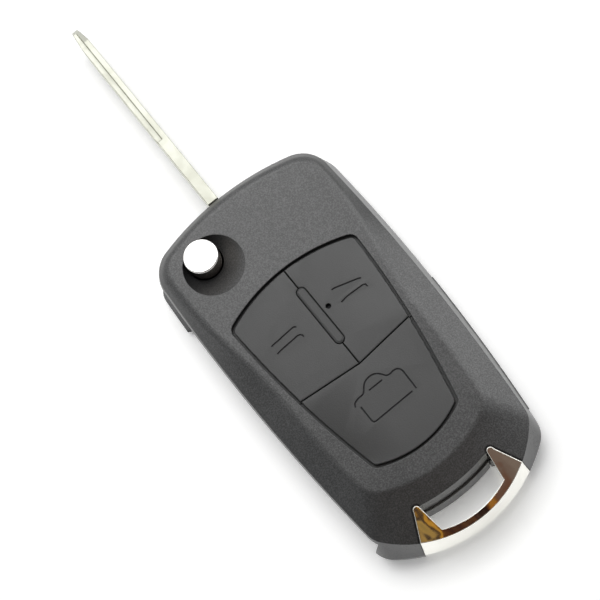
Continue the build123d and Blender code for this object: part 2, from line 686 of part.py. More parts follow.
def battery_cover():
    shell = lower_blank(COVER_PROUD) - flank_trim()
    shell = shell & cover_zone()
    shell -= tub_core(COVER_GAP)
    shell -= swing_room()
    slot = Pos(0, COVER_TOP_Y - COIN_SLOT_L, COIN_SLOT_D / 2)
    return shell - slot * Box(COIN_SLOT_L, COIN_SLOT_W, COIN_SLOT_D)


def keyring_bar():
    whole = upper_blank() + lower_blank()
    plan = extrude(ring_bar_plan(), BIG, dir=(0, 0, 1)) & slab(RINGBAR_LOW_Z, BIG)
    bar = whole & plan
    return bar + tab(-1) + tab(1)


def led_window():
    return disc(LED_R, FRAME_TOP_Z, FACE_Z - LED_SINK, LED_X, LED_Y)


lock_button, unlock_button, boot_button = button_caps()
pieces = {
    "upper_case": upper_case(),
    "lower_case": lower_case(),
    "battery_cover": battery_cover(),
    "keyring_bar": keyring_bar(),
    "lock_button": lock_button,
    "unlock_button": unlock_button,
    "boot_button": boot_button,
    "pad_frame": pad_frame(),
    "button_mat": button_mat(),
    "led_window": led_window(),
    "release_button": release_button(),
    "release_plunger": release_plunger(),
    "flip_spring": flip_spring(),
    "spring_anchor": spring_anchor(),
    "hub_washer": hub_washer(),
    "flip_hub": hub(),
    "blade_pin": blade_pin(),
    "key_blade": key_blade(),
    "case_screws": case_screws(),
}

os.makedirs("parts", exist_ok=True)
for name, piece in pieces.items():
    export_step(piece, f"parts/{name}.step")
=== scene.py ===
# %% [markdown]
# A flip key remote shell lies on its flat back on a white table, blade out. The imported CAD
# solids are the frame of this scene, in metres, so every form is already in its right place.
# What is left for Blender is finish, the signs on the buttons, a copy of the spring, and light.

# %% Load the frame
from math import cos, pi, radians, sin, tan

import bpy
from mathutils import Matrix, Vector


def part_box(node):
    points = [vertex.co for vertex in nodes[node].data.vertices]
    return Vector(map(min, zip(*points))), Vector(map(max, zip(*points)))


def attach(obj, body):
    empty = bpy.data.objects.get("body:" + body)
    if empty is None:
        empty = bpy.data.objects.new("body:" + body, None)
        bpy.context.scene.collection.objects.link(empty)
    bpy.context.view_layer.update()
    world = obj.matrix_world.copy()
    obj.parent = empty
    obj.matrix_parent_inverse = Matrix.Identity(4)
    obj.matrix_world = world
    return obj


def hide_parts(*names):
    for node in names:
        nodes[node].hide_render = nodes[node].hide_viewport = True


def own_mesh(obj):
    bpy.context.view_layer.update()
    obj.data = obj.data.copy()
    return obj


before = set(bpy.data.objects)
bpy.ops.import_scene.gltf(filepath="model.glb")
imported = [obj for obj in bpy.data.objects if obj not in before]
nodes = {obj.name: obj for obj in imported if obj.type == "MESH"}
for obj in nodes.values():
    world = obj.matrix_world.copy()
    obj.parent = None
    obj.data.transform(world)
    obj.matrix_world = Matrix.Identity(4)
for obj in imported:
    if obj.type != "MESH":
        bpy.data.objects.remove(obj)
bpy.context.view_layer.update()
scene = bpy.context.scene
MM = 0.001
print("nodes:", sorted(nodes))

# %% [markdown]
# The photo was taken from above the key-ring end with a fairly long lens, the camera turned so
# that the key lies corner to corner. A place, a target on the table and a roll say all of that.
# The focal length is known in pixels of the picture, and the sensor's width turns it into mm.

# %% Camera
CAMERA_AT = Vector((-10.573, -62.118, 221.62)) * MM
CAMERA_AIM = Vector((-0.201, 15.738, 0.0)) * MM
CAMERA_ROLL = radians(39.21)
FOCAL_PX = 1269.5
FRAME_PX = 600
SENSOR_MM = 36.0
NEAREST_SEEN = 10 * MM

ahead = (CAMERA_AIM - CAMERA_AT).normalized()
flat_right = ahead.cross(Vector((0, 1, 0))).normalized()
flat_down = ahead.cross(flat_right)
right = flat_right * cos(CAMERA_ROLL) + flat_down * sin(CAMERA_ROLL)
down = flat_down * cos(CAMERA_ROLL) - flat_right * sin(CAMERA_ROLL)
lens = bpy.data.cameras.new("photo_camera")
lens.sensor_width = SENSOR_MM
lens.lens = FOCAL_PX / FRAME_PX * SENSOR_MM
lens.clip_start = NEAREST_SEEN
camera = bpy.data.objects.new("photo_camera", lens)
turn = Matrix((right, -down, -ahead)).transposed().to_4x4()
camera.matrix_world = Matrix.Translation(CAMERA_AT) @ turn
scene.collection.objects.link(camera)
scene.camera = camera
print("camera distance mm:", round((CAMERA_AIM - CAMERA_AT).length / MM, 1))

# %% [markdown]
# A material is a small network of nodes. The same few moves come back in all of them: make a
# node, set its values, lead an output to an input. A few short helpers keep the cells readable.

# %% Node helpers
def feed(tree, made, name, value):
    """Lead an output to the input of that name, or set the input to a plain value."""
    socket = next(s for s in made.inputs if s.name == name and s.enabled)
    if isinstance(value, bpy.types.NodeSocket):
        tree.links.new(value, socket)
    else:
        socket.default_value = value


def put(tree, kind, settings=None, **inputs):
    """One node, with its settings and the values or outputs that feed its inputs."""
    made = tree.nodes.new(kind)
    for name, value in (settings or {}).items():
        setattr(made, name, value)
    for name, value in inputs.items():
        feed(tree, made, name.replace("_", " "), value)
    return made


def maths(tree, operation, first, second=0.0, clamp=False):
    """The result of one sum, whose two terms may be numbers or outputs."""
    made = put(tree, "ShaderNodeMath", {"operation": operation, "use_clamp": clamp})
    for socket, value in zip(made.inputs, (first, second)):
        if isinstance(value, bpy.types.NodeSocket):
            tree.links.new(value, socket)
        else:
            socket.default_value = value
    return made.outputs[0]


def blend_colour(tree, share, first, second):
    """The first colour, giving way to the second as share goes from 0 to 1."""
    made = put(tree, "ShaderNodeMix", {"data_type": "RGBA"}, Factor=share, A=first, B=second)
    return next(s for s in made.outputs if s.enabled)


print("node helpers:", feed.__name__, put.__name__, maths.__name__, blend_colour.__name__)

# %% [markdown]
# An effect that several finishes share, such as grain, is a node group: it is built once, and
# each material places it with its own values. The Principled shader itself stays outside, in
# each material, and so do the numbers that are the same all over a surface.

# %% Group and material helpers
def new_group(name, inputs, outputs):
    """An effect with named sockets: inputs are name and value, outputs name and kind."""
    tree = bpy.data.node_groups.new(name, "ShaderNodeTree")
    for label, value in inputs:
        socket = tree.interface.new_socket(label, in_out="INPUT", socket_type="NodeSocketFloat")
        socket.default_value = value
    for label, kind in outputs:
        tree.interface.new_socket(label, in_out="OUTPUT", socket_type=f"NodeSocket{kind}")
    return tree, tree.nodes.new("NodeGroupInput").outputs, tree.nodes.new("NodeGroupOutput")


def use_group(tree, name, **inputs):
    """An effect placed in a material, with the values that it has there."""
    return put(tree, "ShaderNodeGroup", {"node_tree": bpy.data.node_groups[name]}, **inputs)


def new_finish(name):
    """A new material, its tree of nodes, and its Principled shader."""
    finish = bpy.data.materials.new(name)
    finish.use_nodes = True
    return finish, finish.node_tree, finish.node_tree.nodes["Principled BSDF"]


print("group helpers:", new_group.__name__, use_group.__name__, new_finish.__name__)

# %% [markdown]
# The case is injection moulded in a tool whose cavity was roughened by sparks, so its skin is
# covered with tiny rounded craters. Noise gives their uneven height, and cells give their rims.
# A second, much larger noise is the slight cloudiness that any big moulded surface has. Upright
# walls get a flatter grain, because a deep one would tear there as the piece leaves its tool.

# %% Effect: moulded grain
UPRIGHT_NORMAL_Z = 0.15
LYING_NORMAL_Z = 0.85
RIMS_IN_HEIGHT = 0.5
UPRIGHT_FLATTER = 0.8
PITS_IN_TONE = 0.85

tree, given, out = new_group(
    "moulded_grain", [("Grain", 0.3 * MM), ("Cloud", 10 * MM)],
    [("Height", "Float"), ("Tone", "Float"), ("Upright", "Float")],
)
place = put(tree, "ShaderNodeTexCoord").outputs
here = place["Object"]
faces_up = put(tree, "ShaderNodeSeparateXYZ", Vector=place["Normal"]).outputs["Z"]
upright = put(
    tree, "ShaderNodeMapRange", Value=maths(tree, "ABSOLUTE", faces_up),
    From_Min=UPRIGHT_NORMAL_Z, From_Max=LYING_NORMAL_Z, To_Min=1.0, To_Max=0.0,
).outputs[0]
per_grain = maths(tree, "DIVIDE", 1.0, given["Grain"])
per_cloud = maths(tree, "DIVIDE", 1.0, given["Cloud"])
pits = put(tree, "ShaderNodeTexNoise", Vector=here, Scale=per_grain, Detail=3.0, Roughness=0.6)
rims = put(tree, "ShaderNodeTexVoronoi", {"feature": "SMOOTH_F1"}, Vector=here, Scale=per_grain)
cloud = put(tree, "ShaderNodeTexNoise", Vector=here, Scale=per_cloud, Detail=4.0, Roughness=0.55)
raised = maths(tree, "MULTIPLY", rims.outputs["Distance"], RIMS_IN_HEIGHT)
height = maths(tree, "ADD", pits.outputs[0], raised)
kept = maths(tree, "SUBTRACT", 1.0, maths(tree, "MULTIPLY", upright, UPRIGHT_FLATTER))
fine = maths(tree, "MULTIPLY", pits.outputs[0], PITS_IN_TONE)
broad = maths(tree, "MULTIPLY", cloud.outputs[0], 1 - PITS_IN_TONE)
feed(tree, out, "Height", maths(tree, "MULTIPLY", height, kept))
feed(tree, out, "Tone", maths(tree, "ADD", fine, broad))
feed(tree, out, "Upright", upright)
print("group:", tree.name)

# %% [markdown]
# Where the two halves of a moulded case meet, a hair of plastic squeezes out of the tool. It is
# scraped off, and a faint pale line stays at that height. The same height test also makes the
# press button's metal darker below a height just under its top.

# %% Effect: level marks
tree, given, out = new_group(
    "level_marks", [("Height", 6.4 * MM), ("Half Width", 0.1 * MM)],
    [("Line", "Float"), ("Above", "Float")],
)
here = put(tree, "ShaderNodeTexCoord").outputs["Object"]
height = put(tree, "ShaderNodeSeparateXYZ", Vector=here).outputs["Z"]
off = maths(tree, "SUBTRACT", height, given["Height"])
line = maths(tree, "LESS_THAN", maths(tree, "ABSOLUTE", off), given["Half Width"])
feed(tree, out, "Line", line)
feed(tree, out, "Above", maths(tree, "GREATER_THAN", off, 0.0))
print("group:", tree.name)

# %% [markdown]
# The case's edge rolls into the joint round the chrome horns, and shade falls in that joint, so a
# line of painted shade runs round them. It is drawn as a distance in plan: to the horn's straight
# side, which leans, and where that side ends, to the round of its tip. The line fades late, so it
# is dark over most of its width.

# %% Effect: painted joint shade
HORN_ROUND_X = 7.75 * MM
HORN_R = 0.62 * MM
HORN_ROUND_Y = -29.97 * MM
HORN_LEAN = 0.467  # radians from straight along the key
LATE_FADE = 0.5

tree, given, out = new_group("painted_joint_shade", [("Width", 0.3 * MM)], [("Shade", "Float")])
here = put(tree, "ShaderNodeTexCoord").outputs["Object"]
plan = put(tree, "ShaderNodeSeparateXYZ", Vector=here).outputs
across = maths(tree, "ABSOLUTE", plan["X"])
along = maths(tree, "SUBTRACT", plan["Y"], HORN_ROUND_Y)
beside = maths(tree, "SUBTRACT", across, HORN_ROUND_X + HORN_R)
beside = maths(tree, "MULTIPLY", beside, cos(HORN_LEAN))
from_side = maths(tree, "ADD", beside, maths(tree, "MULTIPLY", along, sin(HORN_LEAN)))
reach = put(
    tree, "ShaderNodeCombineXYZ", X=maths(tree, "SUBTRACT", across, HORN_ROUND_X), Y=along
).outputs[0]
length = put(tree, "ShaderNodeVectorMath", {"operation": "LENGTH"}, Vector=reach)
from_round = maths(tree, "SUBTRACT", length.outputs["Value"], HORN_R)
on_round = maths(tree, "GREATER_THAN", along, 0.0)
picked = put(tree, "ShaderNodeMix", Factor=on_round, A=from_side, B=from_round)
apart = maths(tree, "ABSOLUTE", next(s for s in picked.outputs if s.enabled))
fade = put(
    tree, "ShaderNodeMapRange", Value=apart,
    From_Min=0.0, From_Max=given["Width"], To_Min=1.0, To_Max=0.0,
)
feed(tree, out, "Shade", maths(tree, "POWER", fade.outputs[0], LATE_FADE))
print("group:", tree.name)

# %% [markdown]
# No edge of a moulded or milled piece is truly sharp. A Bevel node rounds the shading normal
# within a small radius, and where it departs from the true normal there is an edge: that
# difference is a mask for the places that are rubbed paler, and for the painted shade along the
# case's edges and the painted dark reflection along the blade's edges.

# %% Effect: soft edges
EDGE_GAIN = 3.0

tree, given, out = new_group(
    "soft_edges", [("Radius", 0.2 * MM)], [("Normal", "Vector"), ("Edge", "Float")]
)
rounded = put(tree, "ShaderNodeBevel", {"samples": 6}, Radius=given["Radius"]).outputs[0]
flat = put(tree, "ShaderNodeNewGeometry").outputs["Normal"]
agree = put(tree, "ShaderNodeVectorMath", {"operation": "DOT_PRODUCT"})
tree.links.new(rounded, agree.inputs[0])
tree.links.new(flat, agree.inputs[1])
apart = maths(tree, "SUBTRACT", 1.0, agree.outputs["Value"])
feed(tree, out, "Normal", rounded)
feed(tree, out, "Edge", maths(tree, "MULTIPLY", apart, EDGE_GAIN, clamp=True))
print("group:", tree.name)

# %% [markdown]
# Polished and worn surfaces are never evenly glossy. Cloudy patches of haze, from fingers and
# wiping, change the roughness a little from place to place.

# %% Effect: handling haze
tree, given, out = new_group("handling_haze", [("Patch", 6 * MM)], [("Haze", "Float")])
here = put(tree, "ShaderNodeTexCoord").outputs["Object"]
patches = put(
    tree, "ShaderNodeTexNoise", Vector=here, Scale=maths(tree, "DIVIDE", 1.0, given["Patch"]),
    Detail=5.0, Roughness=0.65, Distortion=0.6,
).outputs[0]
wide = put(tree, "ShaderNodeMapRange", Value=patches, From_Min=0.38, From_Max=0.68)
feed(tree, out, "Haze", wide.outputs[0])
print("group:", tree.name)

# %% [markdown]
# Milled, ground and drawn metal carries fine lines in the direction of the tool. A noise that
# hardly changes along the tool's path, and fully across it, is drawn out into such lines.

# %% Effect: tool lines
tree, given, out = new_group(
    "tool_lines", [("Along X", 1.0), ("Along Y", 1.0), ("Along Z", 1.0), ("Line", 0.1 * MM)],
    [("Height", "Float")],
)
here = put(tree, "ShaderNodeTexCoord").outputs["Object"]
stretch = put(
    tree, "ShaderNodeCombineXYZ", X=given["Along X"], Y=given["Along Y"], Z=given["Along Z"]
).outputs[0]
drawn_out = put(tree, "ShaderNodeMapping", Vector=here, Scale=stretch).outputs[0]
per_line = maths(tree, "DIVIDE", 1.0, given["Line"])
lines = put(tree, "ShaderNodeTexNoise", Vector=drawn_out, Scale=per_line, Detail=2.0)
feed(tree, out, "Height", lines.outputs[0])
print("group:", tree.name)

# %% [markdown]
# The case has marks that no other plastic here has: the pale joint line, walls that shine less
# than the face, and grains that glint. It also has painted shade: a dark line round the horns, and
# darker edges. What the eye sees on a black skin is mostly gloss, and a darker colour alone would
# hardly show, so these masks work on the shine as well.

# %% Marks and painted shade of the case
JOINT_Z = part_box("lower_case")[1].z
JOINT_HALF_WIDTH = 0.05 * MM
JOINT_PALE = (0.07, 0.07, 0.068, 1)
HORN_SHADE = 0.42 * MM
EDGE_SHADE_AND_DULL = 0.25
WALL_DULLER = 0.78


def case_marks_and_shade(tree, grained, soft, colour, shine):
    """The colour with the joint line on it, the mask of painted shade at the edges and round the
    horns, and the uneven shine.
    """
    level = use_group(tree, "level_marks", Height=JOINT_Z, Half_Width=JOINT_HALF_WIDTH)
    colour = blend_colour(tree, level.outputs["Line"], colour, JOINT_PALE)
    shade = use_group(tree, "painted_joint_shade", Width=HORN_SHADE)
    # The edges are painted darker too: painted shade along the case's edges and creases.
    painted_edge = maths(tree, "MULTIPLY", soft.outputs["Edge"], EDGE_SHADE_AND_DULL)
    painted_shade = maths(tree, "MAXIMUM", painted_edge, shade.outputs["Shade"])
    upright = maths(tree, "MULTIPLY", grained.outputs["Upright"], WALL_DULLER)
    dull = maths(tree, "MAXIMUM", upright, painted_shade)
    glint = put(
        tree, "ShaderNodeMapRange", Value=grained.outputs["Tone"],
        From_Min=0.42, From_Max=0.66, To_Min=0.8, To_Max=1.5,
    )
    shining = maths(tree, "MULTIPLY", maths(tree, "SUBTRACT", 1.0, dull), shine)
    return colour, painted_shade, maths(tree, "MULTIPLY", shining, glint.outputs[0])


print("joint line at mm:", round(JOINT_Z / MM, 2))

# %% [markdown]
# Every plastic here is the same idea with other numbers: a colour that wavers a little, grain,
# softened edges, and uneven gloss. Bare pieces are rubbed paler at their edges, and the case's
# edges are painted darker instead, as painted shade. So one function makes them all.

# %% How a plastic is made
CLOUD_SIZE = 12 * MM
FINGER_PATCH = 6 * MM
NOISE_MIDDLE = 0.5
HAZE_ROUGHENS = 0.03
UPRIGHT_SMOOTHER = 0.06


def plastic(name, colour, tone, edges, rough, grain, depth, edge,
            shine=0.5, sparkle=0.2, of_case=False):
    """A moulded skin. The colour wavers by the share tone, and edges is the colour of its edges.
    Grain, its depth and the radius of an edge are in mm. Sparkle is how uneven the gloss is."""
    finish, tree, skin = new_finish(name)
    grained = use_group(tree, "moulded_grain", Grain=grain * MM, Cloud=CLOUD_SIZE)
    soft = use_group(tree, "soft_edges", Radius=edge * MM)
    haze = use_group(tree, "handling_haze", Patch=FINGER_PATCH).outputs["Haze"]
    low = [c * (1 - tone) for c in colour]
    high = [c * (1 + tone) for c in colour]
    cloudy = blend_colour(tree, grained.outputs["Tone"], (*low, 1), (*high, 1))
    # On the case the edge mask is painted shade; on the other plastics it is wear, rubbed paler
    # where hands go.
    if of_case:
        cloudy, wear_and_painted_shade, shining = case_marks_and_shade(tree, grained, soft, cloudy, shine)
        feed(tree, skin, "Specular IOR Level", shining)
    else:
        wear_and_painted_shade = maths(tree, "MULTIPLY", soft.outputs["Edge"], haze, clamp=True)
        skin.inputs["Specular IOR Level"].default_value = shine
    feed(tree, skin, "Base Color", blend_colour(tree, wear_and_painted_shade, cloudy, (*edges, 1)))
    off_middle = maths(tree, "SUBTRACT", grained.outputs["Tone"], NOISE_MIDDLE)
    speck = maths(tree, "MULTIPLY", off_middle, sparkle)
    uneven = maths(tree, "MULTIPLY", haze, HAZE_ROUGHENS)
    gloss = maths(tree, "ADD", maths(tree, "ADD", uneven, rough), speck)
    finer = maths(tree, "MULTIPLY", grained.outputs["Upright"], UPRIGHT_SMOOTHER)
    feed(tree, skin, "Roughness", maths(tree, "SUBTRACT", gloss, finer, clamp=True))
    relief = put(
        tree, "ShaderNodeBump", Strength=1.0, Distance=depth * MM,
        Height=grained.outputs["Height"], Normal=soft.outputs["Normal"],
    )
    feed(tree, skin, "Normal", relief.outputs[0])
    return finish


print("effects at hand:", [group.name for group in bpy.data.node_groups])

# %% [markdown]
# The six plastics. The case is a coarsely grained black, the buttons are a duller satin black, and
# the grooves of their signs are painted darker still, as painted shade in the grooves. The hub
# shows only in the slot. A slick pale plastic, of the kind that needs no grease, and the rubber
# mat lie inside.

# %% Plastics
shell = plastic(
    "grained_shell", (0.0215, 0.022, 0.0225), tone=0.4, edges=(0.006, 0.006, 0.006), rough=0.35,
    grain=0.24, depth=0.018, edge=0.2, shine=0.93, sparkle=0.3, of_case=True,
)
pad = plastic(
    "satin_pad", (0.030, 0.0305, 0.0305), tone=0.3, edges=(0.03, 0.03, 0.03), rough=0.48,
    grain=0.22, depth=0.018, edge=0.12, shine=0.78,
)
hub = plastic(
    "hub_plastic", (0.030, 0.030, 0.031), tone=0.25, edges=(0.12, 0.12, 0.12), rough=0.35,
    grain=0.2, depth=0.01, edge=0.2,
)
inner = plastic(
    "slick_plastic", (0.55, 0.54, 0.50), tone=0.1, edges=(0.66, 0.65, 0.62), rough=0.3,
    grain=0.2, depth=0.004, edge=0.15,
)
rubber = plastic(
    "mat_rubber", (0.075, 0.078, 0.082), tone=0.2, edges=(0.12, 0.12, 0.12), rough=0.62,
    grain=0.12, depth=0.01, edge=0.2,
)
# The grooves' plastic is darker than the pad: painted shade in the cut grooves.
painted_groove = plastic(
    "groove_shade", (0.012, 0.012, 0.013), tone=0.2, edges=(0.02, 0.02, 0.02), rough=0.65,
    grain=0.1, depth=0.004, edge=0.05,
)
print("plastics:", [m.name for m in (shell, pad, hub, inner, rubber, painted_groove)])

# %% [markdown]
# The key-ring bar and the press button are moulded, then chrome plated. Plating is a mirror, but
# it follows the slightly wavy plastic under it, so straight reflections bend. A low, broad bump
# does that, and very fine haze keeps it from looking like glass. Steel is duller, and shows the
# lines of the tool instead.

# %% How a metal is made
METAL_PATCH = 4 * MM
TOOL_LINE = 0.12 * MM
TOOL_LINE_STRENGTH = 0.6
SWELLS_PER_M = 260.0
RIM_GAIN = 3.0
MOST_HAZE = 0.08
SIDE_DARK = (0.46, 0.42, 0.38, 1)


def metal(name, colour, dull, rough, edge, lines=None, depth=0.002, wave=0.0,
          rim=None, darker_below=None):
    """Dull is the colour that haze gives it, and rim the painted colour of its edges, which stands
    in for a dark reflection on their rounding. Lines says how much the tool lines change along X,
    Y and Z. Below the height darker_below it is darker. Edge, the depth of the lines and the
    height of the waves are in mm."""
    finish, tree, skin = new_finish(name)
    skin.inputs["Metallic"].default_value = 1.0
    soft = use_group(tree, "soft_edges", Radius=edge * MM)
    haze = use_group(tree, "handling_haze", Patch=METAL_PATCH).outputs["Haze"]
    bright = blend_colour(tree, haze, (*colour, 1), (*dull, 1))
    # The rim is a painted reflection: a darker edge colour stands in for the dark reflection on
    # rounded edges.
    if rim:
        painted_edge = maths(tree, "MULTIPLY", soft.outputs["Edge"], RIM_GAIN, clamp=True)
        bright = blend_colour(tree, painted_edge, bright, (*rim, 1))
    if darker_below:
        level = use_group(tree, "level_marks", Height=darker_below)
        bright = blend_colour(tree, level.outputs["Above"], SIDE_DARK, bright)
    feed(tree, skin, "Base Color", bright)
    uneven = maths(tree, "MULTIPLY", haze, min(rough, MOST_HAZE))
    feed(tree, skin, "Roughness", maths(tree, "ADD", uneven, rough))
    normal = soft.outputs["Normal"]
    if lines:
        tooled = use_group(
            tree, "tool_lines", Along_X=lines[0], Along_Y=lines[1], Along_Z=lines[2],
            Line=TOOL_LINE,
        )
        normal = put(
            tree, "ShaderNodeBump", Strength=TOOL_LINE_STRENGTH, Distance=depth * MM,
            Height=tooled.outputs["Height"], Normal=normal,
        ).outputs[0]
    if wave:
        here = put(tree, "ShaderNodeTexCoord").outputs["Object"]
        swell = put(tree, "ShaderNodeTexNoise", Vector=here, Scale=SWELLS_PER_M, Detail=1.0)
        normal = put(
            tree, "ShaderNodeBump", Strength=1.0, Distance=wave * MM,
            Height=swell.outputs[0], Normal=normal,
        ).outputs[0]
    feed(tree, skin, "Normal", normal)
    return finish


print("waves of the plating, mm:", round(1 / SWELLS_PER_M / MM, 1))

# %% [markdown]
# The chrome of the bar is a touch warmer than that of the button, whose side is darker below a
# height just under its top. The spring, the pin and the screws are plain steel. The blade is
# milled along its length and nickel plated, and so it is a little yellow. Its edges are painted
# darker: a painted dark reflection along their rounding.

# %% Metals
BRIGHT_TOP_BAND = 0.3 * MM
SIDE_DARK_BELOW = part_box("release_button")[1].z - BRIGHT_TOP_BAND

chrome = metal(
    "bright_chrome", (0.93, 0.92, 0.86), dull=(0.88, 0.87, 0.80), rough=0.03, edge=0.25, wave=0.1
)
cap = metal(
    "button_chrome", (0.93, 0.92, 0.90), dull=(0.88, 0.87, 0.85), rough=0.05, edge=0.12,
    darker_below=SIDE_DARK_BELOW,
)
steel = metal(
    "drawn_steel", (0.62, 0.61, 0.58), dull=(0.50, 0.49, 0.46), rough=0.25, edge=0.08,
    lines=(1, 1, 0.05),
)
blade = metal(
    "milled_blade", (0.56, 0.565, 0.50), dull=(0.52, 0.525, 0.45), rough=0.38, edge=0.2,
    lines=(1, 0.08, 1), depth=0.004, rim=(0.20, 0.20, 0.13),
)
print("metals:", [m.name for m in (chrome, cap, steel, blade)])

# %% [markdown]
# The little light in the button shows only as a black point, because its window is smoked. Dark
# clear plastic is nearly black, and lies a little dull in its hole, where no cloth reaches it.

# %% Smoked lens
LENS_PATCH = 1 * MM
LENS_DARK = (0.004, 0.004, 0.005, 1)
LENS_HAZED = (0.01, 0.01, 0.012, 1)
LENS_ROUGH = 0.3
LENS_UNEVEN = 0.2

smoked, tree, skin = new_finish("smoked_lens")
haze = use_group(tree, "handling_haze", Patch=LENS_PATCH).outputs["Haze"]
feed(tree, skin, "Base Color", blend_colour(tree, haze, LENS_DARK, LENS_HAZED))
uneven = maths(tree, "MULTIPLY", haze, LENS_UNEVEN)
feed(tree, skin, "Roughness", maths(tree, "ADD", uneven, LENS_ROUGH))
skin.inputs["Specular IOR Level"].default_value = 0.15
print("lens:", smoked.name)

# %% [markdown]
# Each CAD node already carries the name of its material slot. Going through the nodes and putting
# our finish in that slot dresses the whole key at once, and no mesh is touched. Only the press
# button has a chrome of its own.

# %% Dress the CAD nodes
finishes = {
    "shell": shell, "pad": pad, "mat": rubber, "chrome": chrome, "lens": smoked,
    "inner": inner, "hub": hub, "steel": steel, "blade": blade,
}
for piece in nodes.values():
    for slot in piece.material_slots:
        slot.material = finishes[slot.material.name]
nodes["release_button"].material_slots[0].material = cap
print("dressed:", len(nodes), "nodes")

# %% [markdown]
# Operators act on everything that is selected, so a piece is selected alone before each one. A
# CAD node's mesh is loose triangles and is left as it is. A copy of it can be worked on once its
# faces share their points.

# %% A copy to work on
WELD = 0.002 * MM
SMOOTH_BELOW = radians(35)


def only(piece):
    """Select one object alone."""
    bpy.ops.object.select_all(action="DESELECT")
    bpy.context.view_layer.objects.active = piece
    piece.select_set(True)
    return piece


def merged_copy(node, name):
    """A copy of a CAD node whose faces share their points."""
    copy = bpy.data.objects.new(name, nodes[node].data.copy())
    scene.collection.objects.link(copy)
    only(copy)
    bpy.ops.object.mode_set(mode="EDIT")
    bpy.ops.mesh.select_all(action="SELECT")
    bpy.ops.mesh.remove_doubles(threshold=WELD)
    bpy.ops.object.mode_set(mode="OBJECT")
    bpy.ops.mesh.customdata_custom_splitnormals_clear()
    return copy


print("points merge within mm:", WELD / MM)

# %% [markdown]
# The signs for locking, unlocking and the boot are thin grooves moulded into the button tops. A
# bump could fake them, but not their dark inner side. So a groove is cut as on a mill: a round
# cutter runs along a line. Here the line is a curve with a round bevel, made a mesh, and a
# Boolean takes it out of the copy of the button.

# %% Engraving tools
CUT_R = 0.14 * MM
CUT_SINK = 0.03 * MM
CUT_ROUNDNESS = 3
STRAIGHT = "VECTOR"
SMOOTH = "AUTO"
SMOOTH_STEPS = 6


def cutter(strokes, top):
    """Round cutters that follow the strokes, given in mm, in a plane just under the top."""
    bpy.ops.object.select_all(action="DESELECT")
    bpy.ops.curve.primitive_bezier_curve_add()
    line = bpy.context.object
    line.data.splines.clear()
    line.data.dimensions = "3D"
    line.data.bevel_depth = CUT_R
    line.data.bevel_resolution = CUT_ROUNDNESS
    line.data.use_fill_caps = True
    for turn, stroke in strokes:
        spline = line.data.splines.new("BEZIER")
        spline.bezier_points.add(len(stroke) - 1)
        spline.resolution_u = SMOOTH_STEPS if turn == SMOOTH else 1
        for point, (x, y) in zip(spline.bezier_points, stroke):
            point.co = (x * MM, y * MM, top - CUT_SINK)
            point.handle_left_type = point.handle_right_type = turn
    only(line)
    bpy.ops.object.convert(target="MESH")
    tool = bpy.context.object
    # The cutter carries the darker plastic, so the Boolean gives the cut faces painted shade.
    tool.data.materials.clear()
    tool.data.materials.append(painted_groove)
    return tool


def engraved(node, body, name, strokes):
    """A copy of a button with the strokes cut into its top. It takes the CAD button's place."""
    button = merged_copy(node, name)
    tool = cutter(strokes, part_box(node)[1].z)
    cut = button.modifiers.new("engrave", "BOOLEAN")
    cut.operation = "DIFFERENCE"
    cut.solver = "EXACT"
    cut.object = tool
    cut.material_mode = "TRANSFER"
    only(button)
    bpy.ops.object.modifier_apply(modifier=cut.name)
    bpy.data.objects.remove(tool)
    bpy.ops.object.shade_smooth_by_angle(angle=SMOOTH_BELOW)
    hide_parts(node)
    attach(button, body)
    print(name, len(button.data.polygons), "faces,", [m.name for m in button.data.materials])


# %% [markdown]
# The signs themselves: a closed pair of bars for lock, an open pair for unlock, and a car boot
# with its lid up. Each stroke is a few listed points. Some run straight from point to point and
# some are drawn as one smooth line.

# %% Signs on the buttons
LOCK_SIGN = [
    (STRAIGHT, [(-9.75, 7.2), (-4.8, 7.53), (-4.5, 7.4), (-4.35, 7.15)]),
    (STRAIGHT, [(-9.75, 5.45), (-9.0, 5.6), (-5.1, 5.82), (-4.65, 5.7), (-4.4, 5.4),
                (-4.35, 5.0)]),
]
UNLOCK_SIGN = [
    (STRAIGHT, [(4.45, 8.52), (5.1, 8.45), (9.2, 7.17), (9.7, 6.9)]),
    (STRAIGHT, [(4.4, 5.65), (5.7, 5.87), (9.2, 5.73), (9.6, 5.5), (9.65, 5.0)]),
]
BOOT_SIGN = [
    (SMOOTH, [(-5.05, -10.45), (-4.75, -9.9), (-4.1, -9.6), (-3.4, -9.5), (-2.7, -9.45),
              (-2.25, -9.1), (-1.8, -8.55), (-1.2, -8.05), (-0.3, -7.78), (0.5, -7.8),
              (1.3, -8.15), (1.9, -8.8), (2.4, -9.45), (3.0, -9.6), (3.8, -9.52),
              (4.55, -9.75), (4.93, -10.4), (4.95, -11.5), (4.92, -13.0), (4.85, -14.35)]),
    (STRAIGHT, [(-4.32, -10.95), (-4.34, -13.9), (-4.2, -14.33), (-3.75, -14.45),
                (4.05, -14.3)]),
    (STRAIGHT, [(-1.5, -9.58), (1.33, -9.58)]),
]
engraved("lock_button", "lock", "lock_button_engraved", LOCK_SIGN)
engraved("unlock_button", "unlock", "unlock_button_engraved", UNLOCK_SIGN)
engraved("boot_button", "boot", "boot_button_engraved", BOOT_SIGN)

# %% [markdown]
# The coil spring under the press button stands in a seat that stays, and carries the stem that
# goes down. A real one closes up turn by turn, and a rigid one would be cut by the stem. Here a
# copy of it, whose faces share their points and are shaded smooth, takes the CAD spring's place
# and goes with the hub.

# %% A copy of the spring
low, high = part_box("flip_spring")
length = high.z - low.z
coil = only(merged_copy("flip_spring", "flip_spring_coil"))
bpy.ops.object.shade_smooth_by_angle(angle=SMOOTH_BELOW)
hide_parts("flip_spring")
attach(coil, "hub")
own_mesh(coil)

